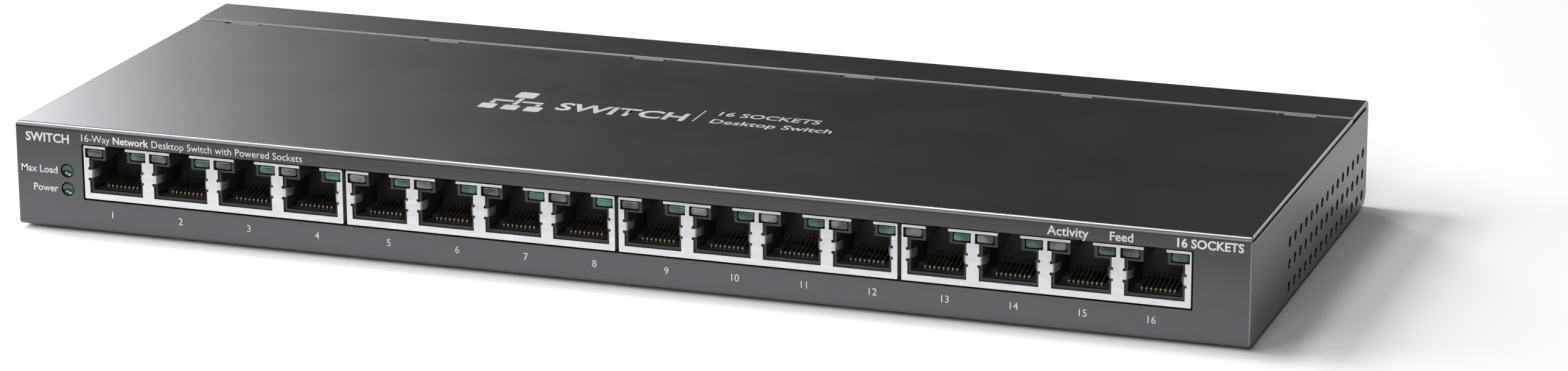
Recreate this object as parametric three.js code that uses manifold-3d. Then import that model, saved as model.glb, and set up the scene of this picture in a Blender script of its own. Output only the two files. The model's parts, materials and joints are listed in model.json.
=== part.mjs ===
// A sixteen-port desktop network switch: a sheet-metal case with its socket blocks and board.
// Units are millimetres. +Z is up, the sockets face -Y, and the origin is the middle of the
// footprint on the plane that the rubber feet stand on.
import * as THREE from 'three';
import { mergeGeometries, mergeVertices } from 'three/addons/utils/BufferGeometryUtils.js';
import Module from 'manifold-3d';

const wasm = await Module();
wasm.setup();

// ---------------------------------------------------------------- driving dimensions
const CASE_W = 286;
const CASE_D = 111.7;
const TOTAL_H = 25.4;
const FOOT_H = 1.0;
const SHEET = 1.0;
const STRIP_PROUD = 0.3;
const STRIP_DEPTH = 16.1;
const GAP = 0.3;
const SOLDER = 0.1;
const SEAT = 0.05;

const FRONT = -CASE_D / 2;
const REAR = CASE_D / 2;
const SIDE = CASE_W / 2;
const BASE = FOOT_H;
const COVER_TOP = TOTAL_H - STRIP_PROUD;
const COVER_UNDER = COVER_TOP - SHEET;
const STRIP_UNDER = TOTAL_H - SHEET;
const SEAM = REAR - STRIP_DEPTH;
const INNER_FRONT = FRONT + SHEET;

// Front flange of the cover, under a raised step of the base.
const FLANGE_BACK = FRONT + 9.4;
const FLANGE_HALF = SIDE - SHEET - 0.4;
const STEP_Z = BASE + SHEET + GAP;
const COVER_SCREW_X = [-105, 0, 105];
const COVER_SCREW_Y = FRONT + 5.3;

// Hooks on the cover's rear edge, which slide under the rear strip.
const HOOK_PITCH = 52.3;
const HOOK_W = 7.5;
const HOOK_COUNT = 6;
const HOOK_RELIEF = 1.0;

// Vent holes in both side walls.
const VENT_R = 1.2;
const VENT_PITCH_Y = 5.13;
const VENT_COLUMNS = 15;
const VENT_FIRST_Y = FRONT + 35.2;
const VENT_ROWS = [3.95, 9.0, 14.0];

// Socket blocks: four shielded blocks of four sockets in one long window.
const BLOCKS = 4;
const PORTS = 4;
const PORT_PITCH = 15.88;
const BLOCK_W = PORTS * PORT_PITCH;
const BLOCK_PITCH = 64.3;
const ARRAY_X = 2.0;
const BLOCK_FRONT = FRONT + 0.1;
const BLOCK_D = 17;
const BLOCK_Z = 8.4;
const BLOCK_H = 12.4;
const BLOCK_TOP = BLOCK_Z + BLOCK_H;
const PLATE = 0.3;
const WINDOW_HALF = 1.5 * BLOCK_PITCH + BLOCK_W / 2 + 0.35;
const WINDOW_Z = [BLOCK_Z - 0.35, BLOCK_TOP + 0.3];
const SHIELD_BAR_H = 1.4;
const LIGHT_Z = 18.0;
const CAVITY = { half: 5.95, floor: 10.6, top: 17.4, depth: 12.5 };
const LATCH_HALF = 2.6;
const LIGHT = { inner: 3.4, outer: 7.2, low: 18.05, high: 19.95 };
const WIRE_PITCH = 1.02;
const WIRE = 0.35;

// Main board.
const BOARD_Z = 6.5;
const BOARD_T = 1.6;
const BOARD_TOP = BOARD_Z + BOARD_T;
const BOARD = { left: -139, right: 139, front: -53.9, back: 51 };
const BOARD_SCREWS = [[-134, -38], [2, -29], [135, -38], [-134, 45], [2, 45], [135, 45]];
const BOSS_R = 3.0;

// Status light pipes, power inlet, wall hooks and feet.
const STATUS_X = -130.4;
const STATUS_LOW_Z = 10.2;
const STATUS_HIGH_Z = 14.5;
const PIPE_R = 1.4;
const INLET_X = -112;
const INLET_Z = 14.2;
const KEYHOLE = [[-75, 8], [75, 8]];
const FOOT_R = 6;
const FEET = [[-122, -38], [122, -38], [-122, 43], [122, 43]];

// ---------------------------------------------------------------- solids
function solid(geometry) {
  const bare = new THREE.BufferGeometry();
  bare.setAttribute('position', geometry.getAttribute('position'));
  bare.setIndex(geometry.index);
  const merged = mergeVertices(bare, 1e-4);
  return new wasm.Manifold(new wasm.Mesh({
    numProp: 3,
    vertProperties: new Float32Array(merged.getAttribute('position').array),
    triVerts: new Uint32Array(merged.index.array),
  }));
}

function geometryOf(shape) {
  const mesh = shape.getMesh();
  const geometry = new THREE.BufferGeometry();
  geometry.setAttribute('position', new THREE.BufferAttribute(mesh.vertProperties, 3));
  geometry.setIndex(new THREE.BufferAttribute(mesh.triVerts, 1));
  geometry.computeVertexNormals();
  return geometry;
}

function box(x, y, z) {
  const geometry = new THREE.BoxGeometry(x[1] - x[0], y[1] - y[0], z[1] - z[0]);
  geometry.translate((x[0] + x[1]) / 2, (y[0] + y[1]) / 2, (z[0] + z[1]) / 2);
  return geometry;
}

function around(centre, half) {
  return [centre - half, centre + half];
}

// A Y-Z outline pushed along X.
function extrudeX(shape, x0, x1, curveSegments = 6) {
  const geometry = new THREE.ExtrudeGeometry(shape, { depth: x1 - x0, bevelEnabled: false, curveSegments });
  const turn = new THREE.Matrix4().makeBasis(
    new THREE.Vector3(0, 1, 0), new THREE.Vector3(0, 0, 1), new THREE.Vector3(1, 0, 0));
  geometry.applyMatrix4(turn);
  geometry.translate(x0, 0, 0);
  return geometry;
}

function outline(points) {
  return new THREE.Shape(points.map(([u, v]) => new THREE.Vector2(u, v)));
}

function rodZ(x, y, z0, z1, r, sides = 12) {
  const geometry = new THREE.CylinderGeometry(r, r, z1 - z0, sides);
  geometry.rotateX(Math.PI / 2);
  geometry.translate(x, y, (z0 + z1) / 2);
  return geometry;
}

function rodY(x, z, y0, y1, r, sides = 12) {
  const geometry = new THREE.CylinderGeometry(r, r, y1 - y0, sides);
  geometry.translate(x, (y0 + y1) / 2, z);
  return geometry;
}

function rodX(y, z, x0, x1, r, sides) {
  const geometry = new THREE.CylinderGeometry(r, r, x1 - x0, sides);
  geometry.rotateZ(Math.PI / 2);
  geometry.translate((x0 + x1) / 2, y, z);
  return geometry;
}

// A turned piece: the profile runs from the axis at the bottom to the axis at the top.
function turned(profile, sides) {
  const points = profile.map(([r, z]) => new THREE.Vector2(r, z));
  const geometry = new THREE.LatheGeometry(points, sides);
  geometry.rotateX(Math.PI / 2);
  return geometry;
}

function cut(body, ...tools) {
  return tools.reduce((rest, tool) => rest.subtract(solid(tool)), body);
}

function join(body, ...pieces) {
  return pieces.reduce((whole, piece) => whole.add(solid(piece)), body);
}

// ---------------------------------------------------------------- materials
const paint = new THREE.MeshStandardMaterial({ color: 0x3c3f42, roughness: 0.42, metalness: 0.35 });
const tin = new THREE.MeshStandardMaterial({ color: 0xd8d9d8, roughness: 0.28, metalness: 0.95 });
const blackPlastic = new THREE.MeshStandardMaterial({ color: 0x141414, roughness: 0.5, metalness: 0 });
const gold = new THREE.MeshStandardMaterial({ color: 0xc79a46, roughness: 0.3, metalness: 1 });
const clearLens = new THREE.MeshStandardMaterial({ color: 0x8b8d8c, roughness: 0.3, metalness: 0 });
const greenLens = new THREE.MeshStandardMaterial({ color: 0x1f8a5c, roughness: 0.25, metalness: 0 });
const boardGreen = new THREE.MeshStandardMaterial({ color: 0x14502f, roughness: 0.5, metalness: 0 });
const chipBlack = new THREE.MeshStandardMaterial({ color: 0x1c1c1e, roughness: 0.6, metalness: 0 });
const bareAluminium = new THREE.MeshStandardMaterial({ color: 0xb9bcbf, roughness: 0.4, metalness: 0.9 });
const zinc = new THREE.MeshStandardMaterial({ color: 0xaeb0ae, roughness: 0.35, metalness: 0.9 });
const rubber = new THREE.MeshStandardMaterial({ color: 0x202021, roughness: 0.9, metalness: 0 });
const padGrey = new THREE.MeshStandardMaterial({ color: 0x8fa3b5, roughness: 0.9, metalness: 0 });

// ---------------------------------------------------------------- case
// Base, side walls, rear wall and rear top strip, folded from one sheet.
function chassis() {
  const bendBelow = 3;
  const bendAbove = 1.2;
  const wallTop = COVER_UNDER - GAP;
  const wallFront = INNER_FRONT + GAP;
  const outside = new THREE.Shape();
  outside.moveTo(wallFront, BASE);
  outside.lineTo(REAR - bendBelow, BASE);
  outside.absarc(REAR - bendBelow, BASE + bendBelow, bendBelow, -Math.PI / 2, 0, false);
  outside.lineTo(REAR, TOTAL_H - bendAbove);
  outside.absarc(REAR - bendAbove, TOTAL_H - bendAbove, bendAbove, 0, Math.PI / 2, false);
  outside.lineTo(SEAM, TOTAL_H);
  outside.lineTo(SEAM, wallTop);
  outside.lineTo(wallFront, wallTop);

  const bendInside = bendBelow - SHEET;
  const inside = new THREE.Shape();
  inside.moveTo(FRONT - 5, STEP_Z + SHEET);
  inside.lineTo(FLANGE_BACK + 1.0, STEP_Z + SHEET);
  inside.lineTo(FLANGE_BACK + 2.0, BASE + SHEET);
  inside.lineTo(REAR - bendBelow, BASE + SHEET);
  inside.absarc(REAR - bendBelow, BASE + bendBelow, bendInside, -Math.PI / 2, 0, false);
  inside.lineTo(REAR - SHEET, STRIP_UNDER);
  inside.lineTo(FRONT - 5, STRIP_UNDER);

  const pocket = box(around(0, SIDE - SHEET), [FRONT - 5, FLANGE_BACK + 0.4], [BASE - 2, STEP_Z]);
  const vents = [];
  for (const z of VENT_ROWS) {
    for (let column = 0; column < VENT_COLUMNS; column += 1) {
      const y = VENT_FIRST_Y + column * VENT_PITCH_Y;
      vents.push(rodX(y, z, -SIDE - 2, SIDE + 2, VENT_R, 8));
    }
  }
  const holes = [mergeGeometries(vents), rodY(INLET_X, INLET_Z, REAR - 3, REAR + 2, 4.4, 20)];
  for (const x of COVER_SCREW_X) {
    holes.push(rodZ(x, COVER_SCREW_Y, BASE, STEP_Z + 3, 1.6));
  }
  for (const [x, y] of KEYHOLE) {
    holes.push(rodZ(x, y, BASE - 1, BASE + 2, 3.75, 16));
    holes.push(box(around(x, 2.1), [y, y + 9], [BASE - 1, BASE + 2]));
  }
  const bosses = BOARD_SCREWS.map(([x, y]) => rodZ(x, y, BASE + 0.5, BOARD_Z - GAP, BOSS_R));
  const bores = BOARD_SCREWS.map(([x, y]) => rodZ(x, y, BASE - 1, BOARD_Z, 1.6));
  let body = cut(solid(extrudeX(outside, -SIDE, SIDE)), extrudeX(inside, -SIDE + SHEET, SIDE - SHEET), pocket);
  body = join(cut(body, ...holes), ...bosses);
  return cut(body, ...bores);
}

// Front panel and top panel, folded from one sheet, with a screw flange and rear hooks.
function cover() {
  const bend = 1.2;
  const edge = SEAM - GAP;
  const profile = new THREE.Shape();
  profile.moveTo(FRONT, BASE);
  profile.lineTo(INNER_FRONT, BASE);
  profile.lineTo(INNER_FRONT, COVER_UNDER);
  profile.lineTo(edge, COVER_UNDER);
  profile.lineTo(edge, COVER_TOP);
  profile.lineTo(FRONT + bend, COVER_TOP);
  profile.absarc(FRONT + bend, COVER_TOP - bend, bend, Math.PI / 2, Math.PI, false);

  const reliefs = [];
  const hooks = [];
  for (let i = 0; i < HOOK_COUNT; i += 1) {
    const x = (i - (HOOK_COUNT - 1) / 2) * HOOK_PITCH;
    const half = HOOK_W / 2;
    reliefs.push(box(around(x, half + HOOK_RELIEF), [edge - 1.1, edge + 1], [COVER_UNDER - 1, COVER_TOP + 1]));
    hooks.push(box(around(x, half), [edge - 2.6, edge - 0.6], [COVER_UNDER - SHEET, COVER_TOP - 0.2]));
    hooks.push(box(around(x, half), [edge - 2.6, edge + 6.5], [COVER_UNDER - SHEET, COVER_UNDER]));
  }
  const flange = box(around(0, FLANGE_HALF), [FRONT + 0.5, FLANGE_BACK], [BASE, BASE + SHEET]);
  const window = box(around(ARRAY_X, WINDOW_HALF), [FRONT - 1, INNER_FRONT + 1], WINDOW_Z);
  const holes = [
    window,
    rodY(STATUS_X, STATUS_LOW_Z, FRONT - 1, INNER_FRONT + 1, PIPE_R + 0.25),
    rodY(STATUS_X, STATUS_HIGH_Z, FRONT - 1, INNER_FRONT + 1, PIPE_R + 0.25),
    ...COVER_SCREW_X.map((x) => rodZ(x, COVER_SCREW_Y, BASE - 1, BASE + 2, 1.7)),
  ];
  const body = cut(solid(extrudeX(profile, -SIDE, SIDE)), ...reliefs);
  return cut(join(body, ...hooks, flange), ...holes);
}

function coverScrew() {
  return turned([[0, -0.75], [2.3, -0.75], [2.75, -0.35], [2.75, -SEAT], [1.3, -SEAT], [1.3, 3.9], [0, 4.2]], 12);
}

function foot() {
  return turned([[0, 0], [FOOT_R - 0.3, 0], [FOOT_R, 0.3], [FOOT_R, FOOT_H - SEAT], [0, FOOT_H - SEAT]], 20);
}

// ---------------------------------------------------------------- socket blocks
function portX(port) {
  return (port - (PORTS - 1) / 2) * PORT_PITCH;
}

function depth(from, to) {
  return [BLOCK_FRONT + from, BLOCK_FRONT + to];
}

// Plated shield: a sheet box, open below, with one opening for each socket and its two lights.
function jackShield() {
  const half = BLOCK_W / 2 - 0.05;
  const openings = [];
  for (let port = 0; port < PORTS; port += 1) {
    const x = portX(port);
    openings.push(box(around(x, 6.54), depth(-1, 0.5), [BLOCK_Z + SHIELD_BAR_H, LIGHT_Z + 0.1]));
    openings.push(box(around(x, 7.5), depth(-1, 0.5), [LIGHT_Z, BLOCK_TOP - 0.6]));
    openings.push(box(around(x, 2.45), depth(-1, 3), [BLOCK_TOP - 1, BLOCK_TOP + 1]));
  }
  const room = box(around(0, half - PLATE), depth(PLATE, BLOCK_D - PLATE), [BLOCK_Z - 1, BLOCK_TOP - PLATE]);
  return cut(solid(box(around(0, half), depth(0, BLOCK_D), [BLOCK_Z, BLOCK_TOP])), room, ...openings);
}

// Moulded body of four sockets: plug cavities, latch slots, light pockets and the wire channel.
function jackHousing() {
  const half = BLOCK_W / 2 - 0.05 - PLATE - GAP;
  const top = BLOCK_TOP - PLATE - GAP;
  const tools = [
    box(around(0, half + 1), depth(13, BLOCK_D), [LIGHT_Z - 0.15, top + 1]),
    box(around(0, half - 0.3), depth(2.3, 6.5), [BLOCK_Z + 0.5, CAVITY.floor]),
  ];
  for (let port = 0; port < PORTS; port += 1) {
    const x = portX(port);
    tools.push(box(around(x, CAVITY.half), depth(0, CAVITY.depth), [CAVITY.floor, CAVITY.top]));
    tools.push(box(around(x, 3.1), depth(0, CAVITY.depth), [CAVITY.top - 0.1, LIGHT_Z - 0.15]));
    tools.push(box(around(x, LATCH_HALF), depth(0, CAVITY.depth), [CAVITY.top - 0.1, top + 1]));
    for (const side of [-1, 1]) {
      const middle = x + side * (LIGHT.inner + LIGHT.outer) / 2;
      tools.push(box(around(middle, 2.15), depth(0, 13.5), [LIGHT_Z - 0.15, top + 1]));
    }
  }
  const block = box(around(0, half), depth(0.6, BLOCK_D - PLATE - GAP), [BLOCK_Z, top]);
  return cut(solid(block), ...tools);
}

// Thirty-two sprung contact wires in one moulded carrier.
function jackContacts() {
  const half = BLOCK_W / 2 - 0.05 - PLATE - 2 * GAP - 0.3;
  const carrier = box(around(0, half), depth(2.6, 4.7), [BLOCK_Z + 0.8, CAVITY.floor - 0.1]);
  const run = 7.4;
  const rise = 2.0;
  const wires = [];
  for (let port = 0; port < PORTS; port += 1) {
    for (let i = 0; i < 8; i += 1) {
      const wire = new THREE.BoxGeometry(WIRE, Math.hypot(run, rise), WIRE);
      wire.rotateX(Math.atan2(rise, run));
      wire.translate(portX(port) + (i - 3.5) * WIRE_PITCH, BLOCK_FRONT + 3.3 + run / 2, 10.1 + rise / 2);
      wires.push(wire);
    }
  }
  return join(solid(carrier), mergeGeometries(wires));
}

// Eight light guides, two over each socket, on one rear rail.
function jackLights() {
  const half = BLOCK_W / 2 - 0.05 - PLATE - 2 * GAP;
  const guides = [];
  for (let port = 0; port < PORTS; port += 1) {
    for (const side of [-1, 1]) {
      const middle = portX(port) + side * (LIGHT.inner + LIGHT.outer) / 2;
      const halfWidth = (LIGHT.outer - LIGHT.inner) / 2;
      guides.push(box(around(middle, halfWidth), depth(0.5, 14), [LIGHT.low, LIGHT.high]));
    }
  }
  const rail = box(around(0, half), depth(13.3, 16.1), [LIGHT.low, LIGHT.high]);
  return join(solid(rail), mergeGeometries(guides));
}

// ---------------------------------------------------------------- board and what it carries
function mainBoard() {
  const plate = box([BOARD.left, BOARD.right], [BOARD.front, BOARD.back], [BOARD_Z, BOARD_TOP]);
  const holes = BOARD_SCREWS.map(([x, y]) => rodZ(x, y, BOARD_Z - 1, BOARD_TOP + 1, 1.7));
  return cut(solid(plate), mergeGeometries(holes));
}

function boardScrew() {
  return turned([[0, -5.2], [1.3, -4.9], [1.3, SEAT], [2.75, SEAT], [2.75, 1.3], [1.9, 1.95], [0, 1.95]], 12);
}

// A bent light guide: a round nose through the panel and a leg that stands over its light source.
function statusPipe(z, reach) {
  const nose = rodY(0, z, BLOCK_FRONT, reach, PIPE_R, 16);
  const leg = box([-1.8, 1.8], [reach - 0.4, reach + 3.0], [BOARD_TOP + 0.9, z + 1.6]);
  return join(solid(nose), leg);
}

function seated(width, length, height) {
  return box(around(0, width / 2), around(0, length / 2), [SOLDER, SOLDER + height]);
}

function bevelled(width, length, height, corner) {
  const w = width / 2;
  const l = length / 2;
  const shape = outline([
    [-w + corner, -l], [w - corner, -l], [w, -l + corner], [w, l - corner],
    [w - corner, l], [-w + corner, l], [-w, l - corner], [-w, -l + corner],
  ]);
  const geometry = new THREE.ExtrudeGeometry(shape, { depth: height, bevelEnabled: false });
  geometry.translate(0, 0, SOLDER);
  return geometry;
}

// Finned heat sink, fins running front to back.
function heatSink(width, length, height, fins) {
  const floor = 2;
  const fin = 1.2;
  const pitch = (width - fin) / (fins - 1);
  const points = [[-width / 2, 0], [width / 2, 0]];
  for (let i = fins - 1; i >= 0; i -= 1) {
    const left = -width / 2 + i * pitch;
    points.push([left + fin, height], [left, height]);
    if (i > 0) {
      points.push([left, floor], [left - pitch + fin, floor]);
    }
  }
  const shape = outline(points);
  const geometry = new THREE.ExtrudeGeometry(shape, { depth: length, bevelEnabled: false });
  geometry.rotateX(Math.PI / 2);
  geometry.translate(0, length / 2, 0);
  return geometry;
}

function capacitor() {
  return turned([[0, SOLDER], [4.6, SOLDER], [5, 0.6], [5, 1.6], [4.7, 2.0], [5, 2.4], [5, 12.1], [4.6, 12.5], [0, 12.5]], 16);
}

// Barrel inlet: a box on the board with a round nose through the rear wall.
function inletBody() {
  const shell = box(around(0, 4.5), [REAR - 15.3, REAR - 1.4], [BOARD_TOP + SOLDER, INLET_Z + 5]);
  const nose = rodY(0, INLET_Z, REAR - 2, REAR - 0.2, 4.0, 20);
  const bore = rodY(0, INLET_Z, REAR - 10.2, REAR + 1, 3.2, 20);
  const socket = rodY(0, INLET_Z, REAR - 14.2, REAR - 10, 1.2, 12);
  return cut(join(solid(shell), nose), bore, socket);
}

function inletPin() {
  return rodY(0, INLET_Z, REAR - 13.9, REAR - 1.2, 1.0, 12);
}

// ---------------------------------------------------------------- assembly
const group = new THREE.Group();

function place(name, shape, material, x = 0, y = 0, z = 0) {
  const geometry = shape.isBufferGeometry ? shape : geometryOf(shape);
  const mesh = new THREE.Mesh(geometry, material);
  mesh.name = name;
  mesh.position.set(x, y, z);
  group.add(mesh);
}

place('chassis', chassis(), paint);
place('front_top_cover', cover(), paint);
COVER_SCREW_X.forEach((x, i) => place(`cover_screw_${i + 1}`, coverScrew(), zinc, x, COVER_SCREW_Y, BASE));
FEET.forEach(([x, y], i) => place(`foot_${i + 1}`, foot(), rubber, x, y, 0));

for (let block = 0; block < BLOCKS; block += 1) {
  const x = ARRAY_X + (block - (BLOCKS - 1) / 2) * BLOCK_PITCH;
  place(`jack_shield_${block + 1}`, jackShield(), tin, x);
  place(`jack_housing_${block + 1}`, jackHousing(), blackPlastic, x);
  place(`jack_contacts_${block + 1}`, jackContacts(), gold, x);
  place(`jack_lights_${block + 1}`, jackLights(), clearLens, x);
  for (const side of [-1, 1]) {
    const number = 2 * block + (side + 3) / 2;
    place(`magnetics_${number}`, seated(24.5, 14, 6.5), chipBlack, x + side * PORT_PITCH, -29, BOARD_TOP);
  }
}

place('main_board', mainBoard(), boardGreen);
BOARD_SCREWS.forEach(([x, y], i) => place(`board_screw_${i + 1}`, boardScrew(), zinc, x, y, BOARD_TOP));

place('power_light_pipe', statusPipe(STATUS_LOW_Z, -51), greenLens, STATUS_X);
place('load_light_pipe', statusPipe(STATUS_HIGH_Z, -46), greenLens, STATUS_X);
place('power_light_source', seated(1.6, 0.8, 0.6), clearLens, STATUS_X, -49.7, BOARD_TOP);
place('load_light_source', seated(1.6, 0.8, 0.6), clearLens, STATUS_X, -44.7, BOARD_TOP);

place('switch_chip', seated(23, 23, 2.2), chipBlack, ARRAY_X, -4, BOARD_TOP);
place('thermal_pad', seated(20, 20, 0.5), padGrey, ARRAY_X, -4, BOARD_TOP + 2.3);
place('heat_sink', heatSink(36, 32, 8, 9), bareAluminium, ARRAY_X, -4, BOARD_TOP + 3.0);
place('phy_chip_1', bevelled(20, 20, 1.8, 1.2), chipBlack, ARRAY_X - 64, -6, BOARD_TOP);
place('phy_chip_2', bevelled(20, 20, 1.8, 1.2), chipBlack, ARRAY_X + 64, -6, BOARD_TOP);
place('power_port_controller_1', seated(10, 10, 1.2), chipBlack, ARRAY_X - 102, -6, BOARD_TOP);
place('power_port_controller_2', seated(10, 10, 1.2), chipBlack, ARRAY_X + 102, -6, BOARD_TOP);
place('power_inductor', bevelled(12.5, 12.5, 8, 1.5), chipBlack, INLET_X, 22, BOARD_TOP);
place('bulk_capacitor_1', capacitor(), bareAluminium, INLET_X + 20, 30, BOARD_TOP);
place('bulk_capacitor_2', capacitor(), bareAluminium, INLET_X + 33, 30, BOARD_TOP);
place('clock_crystal', bevelled(11.4, 4.7, 3.6, 1.8), bareAluminium, ARRAY_X, 24, BOARD_TOP);
place('dc_inlet', inletBody(), blackPlastic, INLET_X);
place('dc_inlet_pin', inletPin(), zinc, INLET_X);

export default group;
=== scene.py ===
"""Looks of a sixteen-socket desktop network switch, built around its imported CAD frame.

Shapes are worked out in millimetres in the frame's own axes and turned into metres when a piece is
finished. Places come from the CAD nodes' boxes.
"""

import json
import math

import bmesh
import bpy
from mathutils import Matrix, Vector


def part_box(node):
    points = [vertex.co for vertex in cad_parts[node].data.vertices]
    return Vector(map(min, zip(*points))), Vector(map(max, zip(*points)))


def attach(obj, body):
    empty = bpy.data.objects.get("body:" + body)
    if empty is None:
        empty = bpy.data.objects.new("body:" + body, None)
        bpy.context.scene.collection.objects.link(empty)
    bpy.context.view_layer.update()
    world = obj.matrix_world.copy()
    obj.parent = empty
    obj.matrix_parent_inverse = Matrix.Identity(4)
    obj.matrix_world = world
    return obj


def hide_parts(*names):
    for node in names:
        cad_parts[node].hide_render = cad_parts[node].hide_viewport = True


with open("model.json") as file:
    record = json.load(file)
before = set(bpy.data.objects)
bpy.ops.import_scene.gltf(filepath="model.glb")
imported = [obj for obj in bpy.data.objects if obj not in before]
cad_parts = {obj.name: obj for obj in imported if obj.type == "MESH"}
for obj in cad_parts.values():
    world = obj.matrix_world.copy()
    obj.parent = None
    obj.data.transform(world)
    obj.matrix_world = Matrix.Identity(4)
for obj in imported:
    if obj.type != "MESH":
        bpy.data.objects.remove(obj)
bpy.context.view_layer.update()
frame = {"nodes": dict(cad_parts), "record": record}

MM = 0.001


def node_mm(node):
    """Lowest and highest corner of a CAD node, in millimetres."""
    low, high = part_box(node)
    return Vector(low) / MM, Vector(high) / MM


# ------------------------------------------------------------------ camera
CAMERA_PLACE = (0.36333, -0.99169, 0.32084)
CAMERA_TURN = (73.464, 0.209, 18.973)
CAMERA_LENS = 111.03
SENSOR_WIDTH = 36


def make_camera():
    """Camera in front of the object and to its right, looking a little down."""
    data = bpy.data.cameras.new("camera")
    data.sensor_width = SENSOR_WIDTH
    data.lens = CAMERA_LENS
    camera = bpy.data.objects.new("camera", data)
    camera.location = CAMERA_PLACE
    camera.rotation_euler = [math.radians(turn) for turn in CAMERA_TURN]
    bpy.context.collection.objects.link(camera)
    bpy.context.scene.camera = camera


make_camera()

# ------------------------------------------------------------------ solid modelling helpers
AXES = {"x": lambda u, v, w: (w, u, v), "y": lambda u, v, w: (u, w, v), "z": lambda u, v, w: (u, v, w)}
SHARP_ANGLE = 35
# On the painted case the slots after PLAIN hold paler paints: painted highlights.
PLAIN, EDGE, SOFT_HIGHLIGHT, HOOK_HIGHLIGHT = range(4)  # material slots of a work object's faces


def link(data, name="work"):
    """Puts new data into the scene as an object."""
    obj = bpy.data.objects.new(name, data)
    bpy.context.collection.objects.link(obj)
    return obj


def weld(mesh, distance=0.0005):
    """Joins the faces of a mesh where their corners meet."""
    bm = bmesh.new()
    bm.from_mesh(mesh)
    bmesh.ops.remove_doubles(bm, verts=bm.verts, dist=distance)
    bm.to_mesh(mesh)
    bm.free()


def drop(obj):
    """Takes an object out of the scene."""
    bpy.data.objects.remove(obj, do_unlink=True)


def add_prism(bm, outline, axis, low, high):
    """Adds a closed prism: an outline of (u, v) points pushed along an axis."""
    place = AXES[axis]
    bottom = [bm.verts.new(place(u, v, low)) for u, v in outline]
    top = [bm.verts.new(place(u, v, high)) for u, v in outline]
    count = len(outline)
    faces = [bm.faces.new(bottom[::-1]), bm.faces.new(top)]
    for i in range(count):
        j = (i + 1) % count
        faces.append(bm.faces.new((bottom[i], bottom[j], top[j], top[i])))
    bmesh.ops.recalc_face_normals(bm, faces=faces)


def solid(*prisms):
    """One work object holding one or more prisms, each (outline, axis, low, high)."""
    bm = bmesh.new()
    for outline, axis, low, high in prisms:
        add_prism(bm, outline, axis, low, high)
    mesh = bpy.data.meshes.new("work")
    bm.to_mesh(mesh)
    bm.free()
    return link(mesh)


def rect(u0, u1, v0, v1, radius=0.0, steps=4):
    """Rectangle outline, counter-clockwise, with rounded corners when a radius is given."""
    if radius <= 0:
        return [(u0, v0), (u1, v0), (u1, v1), (u0, v1)]
    points = []
    corners = ((u1, v0, -90), (u1, v1, 0), (u0, v1, 90), (u0, v0, 180))
    for u, v, start in corners:
        cu = u - radius if u == u1 else u + radius
        cv = v - radius if v == v1 else v + radius
        for step in range(steps + 1):
            angle = math.radians(start + 90 * step / steps)
            points.append((cu + radius * math.cos(angle), cv + radius * math.sin(angle)))
    return points


def circle(u, v, radius, sides=32):
    """Points round a full circle."""
    turn = 2 * math.pi / sides
    return [(u + radius * math.cos(i * turn), v + radius * math.sin(i * turn)) for i in range(sides)]


def arc(u, v, radius, start, end, steps=8):
    """Points on a round stretch, angles in degrees."""
    angles = [math.radians(start + (end - start) * step / steps) for step in range(steps + 1)]
    return [(u + radius * math.cos(a), v + radius * math.sin(a)) for a in angles]


def block(x, y, z, radius=0.0):
    """Box from ranges, with corners rounded in the X-Z plane when a radius is given."""
    return (rect(x[0], x[1], z[0], z[1], radius), "y", y[0], y[1])


def around(centre, half):
    """Range that reaches the same distance to both sides of a centre."""
    return (centre - half, centre + half)


def apply_modifiers(obj):
    """Makes the modifiers' result the object's own mesh."""
    graph = bpy.context.evaluated_depsgraph_get()
    mesh = bpy.data.meshes.new_from_object(obj.evaluated_get(graph), depsgraph=graph)
    obj.modifiers.clear()
    obj.data = mesh


def combine(body, tool, operation):
    """Joins a tool solid to a body or cuts it away, and drops the tool."""
    modifier = body.modifiers.new("combine", "BOOLEAN")
    modifier.operation = operation
    modifier.solver = "MANIFOLD"
    modifier.object = tool
    apply_modifiers(body)
    drop(tool)


def cut(body, *prisms):
    """Cuts prisms out of a body."""
    combine(body, solid(*prisms), "DIFFERENCE")


def fuse(body, *prisms):
    """Joins prisms to a body."""
    combine(body, solid(*prisms), "UNION")


def soften(obj, width, segments=2, edge_slot=-1):
    """Rounds every sharp edge. The rounded strips may take a material slot of their own."""
    modifier = obj.modifiers.new("soften", "BEVEL")
    modifier.width = width
    modifier.segments = segments
    modifier.limit_method = "ANGLE"
    modifier.angle_limit = math.radians(SHARP_ANGLE)
    modifier.use_clamp_overlap = False
    modifier.material = edge_slot
    apply_modifiers(obj)


def work_slots(obj):
    """Gives a work object four material slots, so that its faces can be told apart."""
    for name in ("first", "second", "third", "fourth"):
        obj.data.materials.append(bpy.data.materials.get(name) or bpy.data.materials.new(name))


def mark_bend(obj, low=44, high=64, least_area=5.0):
    """Gives the upper middle of a sheet's long top fold, between two slopes, the edge slot, for a pale
    painted highlight.
    """
    flattest, steepest = math.sin(math.radians(low)), math.sin(math.radians(high))
    for polygon in obj.data.polygons:
        if flattest < polygon.normal.z < steepest and polygon.area > least_area:
            polygon.material_index = EDGE


def mark_wall(obj, y, slot):
    """Gives the flat faces that stand at one depth, facing the front, a material slot."""
    for polygon in obj.data.polygons:
        if abs(polygon.center.y - y) < 0.01 and polygon.normal.y < -0.9:
            polygon.material_index = slot


def swap_slot(obj, below, old, new):
    """Moves the faces of one material slot that lie under a height to another slot."""
    for polygon in obj.data.polygons:
        if polygon.center.z < below and polygon.material_index == old:
            polygon.material_index = new


def shade(obj, angle):
    """Smooth shading that keeps edges sharper than an angle and weighs normals by face size."""
    obj.data.shade_smooth()
    obj.data.set_sharp_from_angle(angle=math.radians(angle))
    modifier = obj.modifiers.new("normals", "WEIGHTED_NORMAL")
    modifier.keep_sharp = True
    modifier.weight = 100
    apply_modifiers(obj)


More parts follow.
